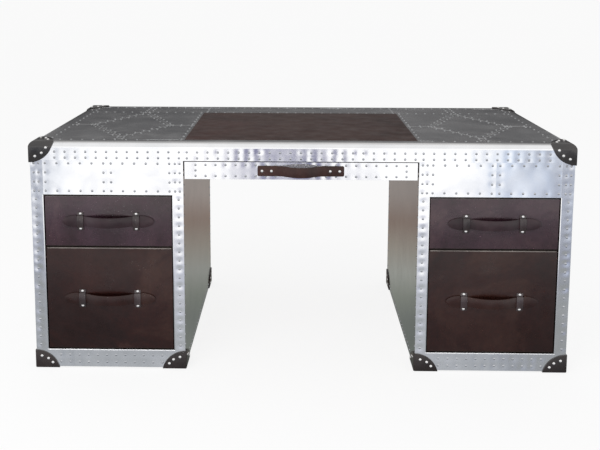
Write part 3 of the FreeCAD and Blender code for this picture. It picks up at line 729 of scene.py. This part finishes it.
def edge_band():
    """A low block whose top rises in rings, opened above and below and given the sheet's thickness."""
    low, high = Vector((-HALF_WIDTH, FRONT, UNDER)), Vector((HALF_WIDTH, BACK, TOP - CROWN_FALL))
    bpy.ops.object.select_all(action="DESELECT")
    bpy.ops.mesh.primitive_cube_add(size=1, location=(low + high) / 2)
    band = bpy.context.object
    band.scale = high - low
    settle(band)
    select_faces_towards(band, Vector((0, 0, 1)))
    reach = rise = 0
    for ring in range(1, CROWN_RINGS + 1):
        turn = QUARTER * (1 - ring / CROWN_RINGS)
        new_reach = CROWN_REACH * (1 - math.sin(turn) ** (1 / CROWN_POWER))
        new_rise = CROWN_FALL * math.cos(turn)
        bpy.ops.mesh.inset(thickness=new_reach - reach, depth=new_rise - rise)
        reach, rise = new_reach, new_rise
    bpy.ops.mesh.inset(thickness=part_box("top_left_sheet")[0].y - FRONT - reach, depth=0)
    bpy.ops.mesh.delete(type="FACE")
    bpy.ops.object.mode_set(mode="OBJECT")
    select_faces_towards(band, Vector((0, 0, -1)))
    bpy.ops.mesh.delete(type="FACE")
    bpy.ops.object.mode_set(mode="OBJECT")
    modify(band, "SOLIDIFY", thickness=SHEET, offset=-1, use_even_offset=True)
    select_only(band)
    bpy.ops.object.shade_smooth_by_angle(angle=math.radians(SHARP_ANGLE))
    return band


hand_over(edge_band(), "top_edge_banding", "desk", "aluminium", SHEET_ALUMINIUM, "top_edge_band")
print("rings in the band's round:", CROWN_RINGS)

# %% [markdown]
# Below the band's round, a narrow strip with two rows of rivets runs all the way round. On the front and
# the back it is in three lengths, with seams in line with the kneehole.

# %% Rim strips
STRIP_DROP = 0.019
STRIP_TOP = TOP - STRIP_DROP
STRIP_GRID = 0.0045
STRIP = 0.0008
STRIP_ROWS = (0.748, 0.728)
STRIP_PITCH = 0.0337
STRIP_MARGIN = 0.013
CORNER_CLEAR = 0.082
GUARD_DEEP = 0.1


def rim_strip(name, facing, plane, along, first, last, depth=SLIGHT_DIMPLE):
    """A strip of the rim with two rows of rivets from a first place to a last one."""
    rows = [spaced_row((first, z), (last, z), STRIP_PITCH) for z in STRIP_ROWS]
    riveted_sheet(name, facing, plane, along, (UNDER, STRIP_TOP), rows, grid=STRIP_GRID, thickness=STRIP,
                  depth=depth, waves=SLIGHT_WAVE)


LENGTHS = {"left": (-HALF_WIDTH, -KNEE), "middle": (-KNEE, KNEE), "right": (KNEE, HALF_WIDTH)}
for name, (low, high) in LENGTHS.items():
    first = low + (CORNER_CLEAR if name == "left" else STRIP_MARGIN)
    last = high - (CORNER_CLEAR if name == "right" else STRIP_MARGIN)
    depth = MEDIUM_DIMPLE if name == "middle" else SLIGHT_DIMPLE
    rim_strip(f"front_rim_{name}", "front", FRONT - STRIP, (low, high), first, last, depth)
    rim_strip(f"back_rim_{name}", "back", BACK + STRIP, (low, high), first, last, depth)
for side, sign in SIDES:
    rim_strip(f"{side}_rim", side, sign * (HALF_WIDTH + STRIP), (FRONT, BACK), FRONT + GUARD_DEEP,
              BACK - GUARD_DEEP)
print("rivets so far:", sum(rivet_counts))

# %% [markdown]
# ## Flanks and backs
# These faces are hidden from the front, or seen at a flat angle, so they follow it: sheets with a riveted
# border, and on the wide outer flanks two sheets that meet under a double column.

# %% Flank and back sheets
BORDER = 0.016
BORDER_PITCH = 0.034
FLANK_GRID = 0.007
FOOT_CLEAR = 0.062


def border_rows(along, up, clear):
    """A riveted border whose corners leave room for the foot guards."""
    left, right = along[0] + BORDER, along[1] - BORDER
    foot, head = up[0] + BORDER, up[1] - BORDER
    return [
        spaced_row((left, head), (right, head), BORDER_PITCH),
        spaced_row((along[0] + clear[0], foot), (along[1] - clear[1], foot), BORDER_PITCH),
        spaced_row((left, foot + FOOT_CLEAR), (left, head - BORDER_PITCH), BORDER_PITCH),
        spaced_row((right, foot + FOOT_CLEAR), (right, head - BORDER_PITCH), BORDER_PITCH),
    ]


height = (SOLE, UNDER)
for side, sign in SIDES:
    for place, low, high in (("front", FRONT, MIDDLE), ("back", MIDDLE, BACK)):
        clear = (GUARD_DEEP, BORDER) if place == "front" else (BORDER, GUARD_DEEP)
        riveted_sheet(f"{side}_flank_{place}_sheet", side, sign * HALF_WIDTH, (low, high), height,
                      border_rows((low, high), height, clear), f"{side}_side_sheets", grid=FLANK_GRID)
    inner = "right" if side == "left" else "left"
    riveted_sheet(f"{side}_kneehole_sheet", inner, sign * KNEE, (FRONT, BACK), height,
                  border_rows((FRONT, BACK), height, (GUARD_DEEP, GUARD_DEEP)), f"{side}_side_sheets",
                  grid=FLANK_GRID, waves=SLIGHT_WAVE)
    back_span = sorted((sign * HALF_WIDTH, sign * KNEE))
    riveted_sheet(f"{side}_back_sheeting", "back", BACK, back_span, height,
                  border_rows(back_span, height, (GUARD_CLEAR, GUARD_CLEAR)), f"{side}_back_sheet",
                  grid=FLANK_GRID)
rail_low, rail_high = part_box("kneehole_back_sheet")
rail_rows = [spaced_row((-KNEE + BORDER, z), (KNEE - BORDER, z), BORDER_PITCH)
             for z in (rail_low.z + BORDER, rail_high.z - BORDER)]
riveted_sheet("kneehole_back_sheeting", "back", BACK, (-KNEE, KNEE), (rail_low.z, rail_high.z), rail_rows,
              "kneehole_back_sheet")
print("rivets so far:", sum(rivet_counts))

# %% [markdown]
# ## The top
# Left and right of the writing leather, each field of the top is patched together from pieces that leave a
# diamond in the middle. From each corner of the diamond a seam runs straight to the edge, and the one at
# the back crosses the strip behind the leather. A double row of rivets follows each seam. Patches cut
# one by one would need a rim each, so a field stays one grid, and its seams are pressed into it. `DIAMOND`
# gives each corner's distance from the desk's middle and from its front.

# %% Seams and the rows beside them
TOP_PITCH = 0.036
SEAM_PITCH = 0.048
DEPTH_PITCH = 0.055
SEAM_ROW = 0.0125
SEAM_HALF = 0.0008
SEAM_DEPTH = 0.0006
FIELD_MARGIN = 0.011
TINY = 1e-9
DIAMOND = {
    "outer": (0.763, 0.378),
    "back": (0.617, 0.694),
    "inner": (0.481, 0.366),
    "front": (0.613, 0.109),
}
SEAMS = (("outer", "back"), ("inner", "front"), ("back", "inner"), ("front", "outer"))

field_low, field_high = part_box("top_right_sheet")
back_low, back_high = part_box("top_back_sheet")
FIELD_IN, FIELD_OUT = field_low.x, field_high.x


def seam_lines(sign):
    """The start, direction and length of each seam of one side."""
    corners = {key: Vector((sign * x, FRONT + depth)) for key, (x, depth) in DIAMOND.items()}
    edges = {
        "outer": (sign * FIELD_OUT, corners["outer"].y),
        "inner": (sign * FIELD_IN, corners["inner"].y),
        "front": (corners["front"].x, field_low.y),
        "back": (corners["back"].x, back_high.y),
    }
    sides = [(corners[first], corners[second]) for first, second in SEAMS]
    for first, second in sides + [(corners[key], Vector(edges[key])) for key in edges]:
        yield first, (second - first).normalized(), (second - first).length


def clipped(point, direction, length, low, high):
    """Where a stretch of a line enters and leaves a rectangle, or nothing if it misses it."""
    start, end = 0, length
    for axis in range(2):
        slope = direction[axis] or TINY
        edges = sorted((edge[axis] - point[axis]) / slope for edge in (low, high))
        start, end = max(start, edges[0]), min(end, edges[1])
    if start < end:
        return tuple(point + direction * start), tuple(point + direction * end)


def seam_rows(sign, along, up):
    """The double rows of rivets that fall on one sheet of the top."""
    margin = Vector((FIELD_MARGIN, FIELD_MARGIN))
    low, high = Vector((along[0], up[0])) + margin, Vector((along[1], up[1])) - margin
    rows = []
    for point, direction, length in seam_lines(sign):
        across = Vector((-direction.y, direction.x))
        for offset in (-SEAM_ROW, SEAM_ROW):
            ends = clipped(point + across * offset, direction, length, low, high)
            if ends:
                rows.append(spaced_row(*ends, SEAM_PITCH))
    return rows


def press_seams(sheet, sign):
    """Cut three lines along each seam with Bisect and sink the middle one as far as the seam runs."""
    select_only(sheet)
    bpy.ops.object.mode_set(mode="EDIT")
    bpy.ops.mesh.select_mode(type="VERT")
    for point, direction, length in seam_lines(sign):
        across = Vector((-direction.y, direction.x))
        for offset in (-SEAM_HALF, SEAM_HALF, 0):
            place = point + across * offset
            bpy.ops.mesh.select_all(action="SELECT")
            bpy.ops.mesh.bisect(plane_co=(*place, TOP), plane_no=(*across, 0))
        bpy.ops.object.mode_set(mode="OBJECT")
        on_seam = [vertex.index for vertex in sheet.data.vertices
                   if vertex.select and 0 <= (vertex.co.xy - point).dot(direction) <= length]
        bpy.ops.object.mode_set(mode="EDIT")
        bpy.ops.mesh.select_all(action="DESELECT")
        bpy.ops.object.mode_set(mode="OBJECT")
        for index in on_seam:
            sheet.data.vertices[index].select = True
        bpy.ops.object.mode_set(mode="EDIT")
        bpy.ops.transform.translate(value=(0, 0, -SEAM_DEPTH))
    bpy.ops.object.mode_set(mode="OBJECT")


print("seams on each side of the top:", len(list(seam_lines(1))))

# %% [markdown]
# With its seams pressed in, each field and each end of the strip behind it is clad as any other sheet. A
# last row of rivets follows the edge of the top, on the band, and is a piece of its own.

# %% Top sheets
EDGE_ROW = 0.005
field_span, back_span = (field_low.y, field_high.y), (back_low.y, back_high.y)
row_front, row_back = field_low.y + FIELD_MARGIN, back_low.y + FIELD_MARGIN

for side, sign in SIDES:
    along = sorted((sign * FIELD_IN, sign * FIELD_OUT))
    inner = sign * (FIELD_IN + FIELD_MARGIN)
    beside_inset = spaced_row((inner, row_front), (inner, field_high.y - FIELD_MARGIN), DEPTH_PITCH)
    along_back = spaced_row((along[0] + FIELD_MARGIN, row_back), (along[1] - FIELD_MARGIN, row_back),
                            TOP_PITCH)
    for name, span, border, node in (("field", field_span, beside_inset, f"top_{side}_sheet"),
                                     ("strip", back_span, along_back, "top_back_sheet")):
        sheet = flat_sheet("top", TOP, along, span)
        press_seams(sheet, sign)
        clad(f"top_{side}_{name}", sheet, "top", TOP, [border, *seam_rows(sign, along, span)], node)

ends = (-FIELD_IN + FIELD_MARGIN, FIELD_IN - FIELD_MARGIN)
rows = [spaced_row((ends[0], row_back), (ends[1], row_back), TOP_PITCH)]
rows += [spaced_row((x, row_back + TOP_PITCH), (x, back_high.y - FIELD_MARGIN), TOP_PITCH) for x in ends]
riveted_sheet("top_middle_strip", "top", TOP, (-FIELD_IN, FIELD_IN), back_span, rows, "top_back_sheet")

edge_x, edge_front, edge_back = FIELD_OUT + EDGE_ROW, field_low.y - EDGE_ROW, back_high.y + EDGE_ROW
edge_rows = [spaced_row((-edge_x + TOP_PITCH, edge_back), (edge_x - TOP_PITCH, edge_back), TOP_PITCH)]
for sign in (-1, 1):
    inner, outer = sign * (FIELD_IN + FIELD_MARGIN), sign * (edge_x - TOP_PITCH)
    edge_rows.append(spaced_row((outer, edge_front), (inner, edge_front), TOP_PITCH))
    beside = sign * edge_x
    edge_rows.append(spaced_row((beside, edge_front + TOP_PITCH), (beside, edge_back - TOP_PITCH),
                                DEPTH_PITCH))
edge_rivets, taken = set_rivets("top", TOP, edge_rows)
hand_over(join(edge_rivets), "top_edge_rivets", "desk", "aluminium", WORN_RIVET_ALUMINIUM)
rivet_counts.append(len(taken))
print("rivets so far:", sum(rivet_counts))

# %% [markdown]
# ## The centre drawer's face
# The shallow drawer over the kneehole has an aluminium face with two rows of rivets, and a third rivet at
# each end. It moves with the drawer.

# %% Centre drawer face
CENTRE_ROWS = (0.706, 0.669)
CENTRE_END = 0.347
CENTRE_COUNT = 22
CENTRE_TRIM = 0.0015
face_low, face_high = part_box("centre_drawer_face")
rows = [((-CENTRE_END, z), (CENTRE_END, z), CENTRE_COUNT) for z in CENTRE_ROWS]
between = sum(CENTRE_ROWS) / 2
rows += [((-CENTRE_END, between), (CENTRE_END, between), 2)]
riveted_sheet("centre_drawer_sheet", "front", face_low.y,
              (face_low.x + CENTRE_TRIM, face_high.x - CENTRE_TRIM), (face_low.z, face_high.z), rows,
              "centre_drawer_face", body="centre_drawer", grid=STRIP_GRID, depth=SLIGHT_DIMPLE,
              waves=SLIGHT_WAVE)
bpy.data.objects.remove(RIVET)
print("rivets in all:", sum(rivet_counts))

# %% [markdown]
# ## Leather faces
# A drawer front is a board wrapped in hide, so its edges are soft rather than crisp. Each face is a bar
# with rounded edges, sized to the frame's leather. A pale strip along its top is a painted highlight for
# the light that the rounded fold catches. The writing panel is made the same way.

# %% Drawer leather and writing panel
FACE_ROUND = 0.0026
FACE_TRIM = 0.002
INSET_ROUND = 0.0008
EDGE_WIDTH = 0.0032
EDGE_DEEP = 0.0042
EDGE_PROUD = 0.0002
EDGE_ROUND = 0.4 * EDGE_WIDTH


def leather_panel(node, body, slot, material, rounding, trim=0):
    """A hide over a frame's leather, cut short by a trim at its head and its foot."""
    low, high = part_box(node)
    cut = Vector((0, 0, trim))
    panel = rounded_bar(low + cut, high - cut, rounding)
    hand_over(panel, f"{node}_hide", body, slot, material, node)


def painted_highlight_edge(node, body, slot, material):
    """A pale strip along the head of a drawer's hide, painted as a highlight on its rounded fold."""
    low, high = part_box(node)
    head = high.z - FACE_TRIM
    edge = rounded_bar((low.x + FACE_ROUND, low.y - EDGE_PROUD, head - EDGE_WIDTH),
                       (high.x - FACE_ROUND, low.y + EDGE_DEEP, head + EDGE_PROUD), EDGE_ROUND)
    hand_over(edge, f"{body}_painted_highlight_edge", body, slot, material)


# The upper and lower hides differ by painted light and shade, as set where they are made.
HIDES = {
    "upper": (LIT_UPPER_LEATHER, UPPER_EDGE_HIGHLIGHT, STRAP_LEATHER),
    "lower": (SHADED_LOWER_LEATHER, LOWER_EDGE_HIGHLIGHT, SHADED_LOWER_LEATHER),
}
DRAWERS = {}
for side in ("left", "right"):
    for level, (hide, edge, strap) in HIDES.items():
        drawer = f"{side}_{level}_drawer"
        leather_panel(f"{drawer}_face", drawer, "drawer_leather", hide, FACE_ROUND, FACE_TRIM)
        painted_highlight_edge(f"{drawer}_face", drawer, "drawer_leather", edge)
        DRAWERS[drawer] = strap
leather_panel("writing_leather", "desk", "inset_leather", INSET_LEATHER, INSET_ROUND)
print("leather panels:", len(DRAWERS) + 1)

# %% [markdown]
# ## Straps, keepers and corner guards
# These thick hides are already cut to shape in the frame. A copy of each is merged into one skin, its
# flat faces are cleaned of needless triangles, and its edges are rounded as a saddler would with an edge
# tool. The copy then stands for the frame's piece. The centre strap is a single hide, so its back is left
# as pale suede.

# %% Cut leather
MERGE = 0.00001
FLAT_ANGLE = 0.5
HIDE_ANGLE = 40
STRAP_ROUND = 0.0012
KEEPER_ROUND = 0.0011
GUARD_ROUND = 0.001
SUEDE_FACING = 0.6


def dressed_hide(node, body, slot, material, rounding):
    """A copy of a frame's hide, merged, cleaned and rounded at its edges."""
    hide = copy_of(nodes[node], f"{node}_hide")
    select_only(hide)
    if hide.data.has_custom_normals:
        bpy.ops.mesh.customdata_custom_splitnormals_clear()
    bpy.ops.object.mode_set(mode="EDIT")
    bpy.ops.mesh.select_all(action="SELECT")
    bpy.ops.mesh.remove_doubles(threshold=MERGE)
    bpy.ops.mesh.dissolve_limited(angle_limit=math.radians(FLAT_ANGLE))
    bpy.ops.object.mode_set(mode="OBJECT")
    round_edges(hide, rounding, angle=HIDE_ANGLE, smooth=HIDE_ANGLE)
    return hand_over(hide, f"{node}_hide", body, slot, material, node)


for drawer, strap in DRAWERS.items():
    dressed_hide(f"{drawer}_strap", drawer, "strap_leather", strap, STRAP_ROUND)
    dressed_hide(f"{drawer}_keepers", drawer, "strap_leather", KEEPER_LEATHER, KEEPER_ROUND)
strap = dressed_hide("centre_drawer_strap", "centre_drawer", "strap_leather", RED_STRAP_LEATHER,
                     STRAP_ROUND)
strap.data.materials.append(SUEDE)
for face in strap.data.polygons:
    face.material_index = 1 if face.normal.y > SUEDE_FACING else 0
GUARDS = {"top_corner_guards": GUARD_LEATHER, "pedestal_corner_guards": FOOT_GUARD_LEATHER}
for guards, hide in GUARDS.items():
    dressed_hide(guards, "desk", "guard_leather", hide, GUARD_ROUND)
print("straps:", len(DRAWERS) + 1, "and sets of guards:", len(GUARDS))

# %% [markdown]
# ## Floor, light and reflections
# The desk stands on a plain white floor in soft light. To the camera the floor glows nearly white and keeps
# a trace of the desk's shadow. To the light it is a mid grey, so that little is thrown up at the leather.
# Reflections don't see it, because the studio that is made next has floor tones of its own.

# %% Floor
FLOOR_SIZE = 400
FLOOR_GREY = (0.42, 0.42, 0.42, 1)
FLOOR_WHITE = (0.96, 0.96, 0.96, 1)
FLOOR_ROUGHNESS = 0.9
FLOOR_GLOW = 0.85
bpy.ops.object.select_all(action="DESELECT")
bpy.ops.mesh.primitive_plane_add(size=FLOOR_SIZE)
floor = bpy.context.object
floor.name = "floor"
floor_material, tree, shader, place = new_material("floor_white")
shader.inputs["Roughness"].default_value = FLOOR_ROUGHNESS
path = add(tree, "ShaderNodeLightPath")
paint = mix(tree, "MIX", FLOOR_GREY, FLOOR_WHITE, (path, "Is Camera Ray"))
wire(tree, *paint, shader, "Base Color")
glow = add(tree, "ShaderNodeEmission", Strength=1)
blend = add(tree, "ShaderNodeMixShader")
share = add(tree, "ShaderNodeMath", operation="MULTIPLY")
share.inputs[1].default_value = FLOOR_GLOW
wire(tree, path, "Is Camera Ray", share, 0)
wire(tree, share, "Value", blend, "Fac")
wire(tree, shader, "BSDF", blend, 1)
wire(tree, glow, "Emission", blend, 2)
wire(tree, blend, "Shader", tree.nodes["Material Output"], "Surface")
floor.data.materials.append(floor_material)
floor.visible_glossy = False
print("floor:", FLOOR_SIZE, "m wide")

# %% [markdown]
# Polished metal shows whatever surrounds it, so the world is a studio that only reflections see. Its graph
# reads the direction that a reflection looks in. This cell sets up that direction's height, its place from
# left to right and its turn from front to back, each stretched to run from 0 to 1.

# %% Directions of the world
HEIGHT_RANGE = (-0.512, 0.854)
SIDEWAYS_RANGE = (-0.84, 0.84)
TURN_RANGE = (-0.15, 0.35)
world = bpy.data.worlds.new("studio")
bpy.context.scene.world = world
world.use_nodes = True
tree = world.node_tree
background = tree.nodes["Background"]
place = add(tree, "ShaderNodeTexCoord")
axes = add(tree, "ShaderNodeSeparateXYZ")
wire(tree, place, "Generated", axes, "Vector")
height = spread(tree, axes, "Z", 0, 1, *HEIGHT_RANGE)
sideways = spread(tree, axes, "X", 0, 1, *SIDEWAYS_RANGE)
turn = spread(tree, axes, "Y", 0, 1, *TURN_RANGE)
print("heights of the studio:", HEIGHT_RANGE)

# %% [markdown]
# In front of the desk the floor is grey. Above it stand bright softboxes, with a darker wall between the
# middle and the sides, which darkens the outer stiles. At the height that the rim mirrors, a narrow dark
# gap divides the middle. Each set of tones fades to white at the heights where it isn't wanted.

# %% Studio in front


def grey(level):
    """A neutral tone."""
    return (level, level, level)


WHITE, BLACK = grey(1.0), grey(0.0)
WALL_TONE = (0.36, 0.385, 0.45)
LEAST_TONE = (0.33, 0.345, 0.35, 1)
AHEAD = (
    (0.07, (0.41, 0.43, 0.45)), (0.115, (0.48, 0.50, 0.53)), (0.15, (0.60, 0.62, 0.72)),
    (0.18, (0.95, 0.95, 1.0)), (0.20, grey(1.25)), (0.38, grey(1.25)), (0.50, grey(0.95)),
)
SOFTBOXES = (
    (-0.80, WHITE), (-0.55, WALL_TONE), (-0.345, WALL_TONE), (-0.336, (0.50, 0.54, 0.62)),
    (-0.327, (0.84, 0.87, 0.92)), (-0.29, WHITE), (0.25, WHITE), (0.28, (0.64, 0.72, 0.85)),
    (0.31, (0.46, 0.525, 0.65)), (0.34, WALL_TONE), (0.54, WALL_TONE), (0.80, WHITE),
)
BOX_GAP = (
    (-0.080, WHITE), (-0.062, (0.36, 0.36, 0.46)), (-0.025, (0.13, 0.13, 0.24)),
    (0.036, (0.16, 0.16, 0.27)), (0.052, WHITE),
)
ABOVE = ((0.255, BLACK), (0.30, WHITE))
BESIDE_RIM = ((0.19, WHITE), (0.205, BLACK), (0.255, BLACK), (0.30, WHITE))


def tones(stops, fade):
    """Tones from left to right, as (across, tone) stops, that fade to white as the height says."""
    made = ramp(tree, sideways, "Result", [(0.5 + across / 2, tone) for across, tone in stops])
    faded = ramp(tree, height, "Result", fade)
    return mix(tree, "MIX", (made, "Color"), (*WHITE, 1), (faded, "Color"))


ahead = ramp(tree, height, "Result", AHEAD)
lit = mix(tree, "MULTIPLY", (ahead, "Color"), tones(SOFTBOXES, ABOVE), 1)
lit = mix(tree, "LIGHTEN", lit, LEAST_TONE, 1)
lit = mix(tree, "MULTIPLY", lit, tones(BOX_GAP, BESIDE_RIM), 1)
print("tones in front:", len(AHEAD) + len(SOFTBOXES) + len(BOX_GAP))

# %% [markdown]
# Behind the desk, brownish greys low down are what the sides of the kneehole mirror. Above them come a dark
# band and then a paler ceiling, which gives the top its tone. Slow clouds vary all this, because an even
# grey looks painted. At the end, the camera is given plain white, reflections the studio, and all other
# light one even level.

# %% Studio behind
WORLD_LEVEL = 0.7
BEHIND = (
    (0.112, (0.160, 0.174, 0.162)), (0.128, (0.205, 0.222, 0.195)), (0.146, (0.315, 0.325, 0.300)),
    (0.165, (0.285, 0.262, 0.228)), (0.186, (0.235, 0.182, 0.155)), (0.206, (0.310, 0.275, 0.255)),
    (0.235, (0.325, 0.300, 0.280)), (0.33, grey(0.10)), (0.40, grey(0.07)), (0.46, (0.108, 0.108, 0.112)),
    (0.53, (0.135, 0.135, 0.138)), (0.56, grey(0.30)), (0.64, grey(0.46)), (0.80, grey(0.62)),
    (0.95, grey(0.72)),
)
DRIFT = ((0.35, grey(0.82)), (0.65, (1.3, 1.28, 1.26)))
behind = ramp(tree, height, "Result", BEHIND)
clouds = add(tree, "ShaderNodeTexNoise", Scale=5, Detail=2)
wire(tree, place, "Generated", clouds, "Vector")
drift = ramp(tree, clouds, "Fac", DRIFT)
behind = mix(tree, "MULTIPLY", (behind, "Color"), (drift, "Color"), 1)
studio = mix(tree, "MIX", lit, behind, (turn, "Result"))
path = add(tree, "ShaderNodeLightPath")
reflected = mix(tree, "MIX", (*grey(WORLD_LEVEL), 1), studio, (path, "Is Glossy Ray"))
seen = mix(tree, "MIX", reflected, (*WHITE, 1), (path, "Is Camera Ray"))
wire(tree, *seen, background, "Color")
print("world:", len(tree.nodes), "nodes")

# %% [markdown]
# Two area lamps give the leather its soft light: a large one high in front on the left, and a small low one
# that lifts the drawer fronts. Reflections leave them out, as the studio already has its own bright boxes.

# %% Lamps
DESK_MIDDLE = (0, 0, 0.5)
LAMPS = {
    "key_softbox": {"location": (-1.6, -2.675, 3.2), "size": 2.0, "power": 42},
    "front_softbox": {"location": (-0.9, -3.275, 0.2), "size": 0.4, "power": 54},
}


def softbox(name, target, location, size, power):
    """A square lamp that looks at a target."""
    bpy.ops.object.select_all(action="DESELECT")
    bpy.ops.object.light_add(type="AREA", location=location)
    lamp = bpy.context.object
    lamp.name = name
    lamp.data.size = size
    lamp.data.energy = power
    lamp.rotation_euler = (Vector(target) - Vector(location)).to_track_quat("-Z", "Y").to_euler()
    lamp.visible_glossy = False


for lamp_name, settings in LAMPS.items():
    softbox(lamp_name, DESK_MIDDLE, **settings)
print("lamps:", *LAMPS)

# %% [markdown]
# ## The camera
# It stands where the photograph was taken from: not quite three metres in front of the desk at chest
# height, looking slightly down. The picture was cropped off-centre, which is what the shifts follow.

# %% Camera
IMAGE_WIDTH = 600
FOCAL_PIXELS = 878.2
OPTICAL_CENTRE = (277.1, 110.0)
IMAGE_CENTRE = (300.0, 225.0)
CAMERA_PLACE = (-0.020, -3.2705, 1.2836)
PITCH, YAW, ROLL = 0.1382, -0.0206, 0.0020
SENSOR_WIDTH = 36

camera_data = bpy.data.cameras.new("camera")
camera = bpy.data.objects.new("camera", camera_data)
bpy.context.scene.collection.objects.link(camera)
camera_data.sensor_width = SENSOR_WIDTH
camera_data.lens = FOCAL_PIXELS / IMAGE_WIDTH * SENSOR_WIDTH
camera_data.shift_x = (IMAGE_CENTRE[0] - OPTICAL_CENTRE[0]) / IMAGE_WIDTH
camera_data.shift_y = (OPTICAL_CENTRE[1] - IMAGE_CENTRE[1]) / IMAGE_WIDTH
camera.location = CAMERA_PLACE
turned = Matrix.Rotation(-YAW, 3, "Z") @ Matrix.Rotation(QUARTER - PITCH, 3, "X")
camera.rotation_euler = (turned @ Matrix.Rotation(ROLL, 3, "Z")).to_euler()
bpy.context.scene.camera = camera
bpy.context.scene.view_settings.view_transform = "Standard"
print("camera:", round(FRONT - CAMERA_PLACE[1], 2), "m in front of the desk")
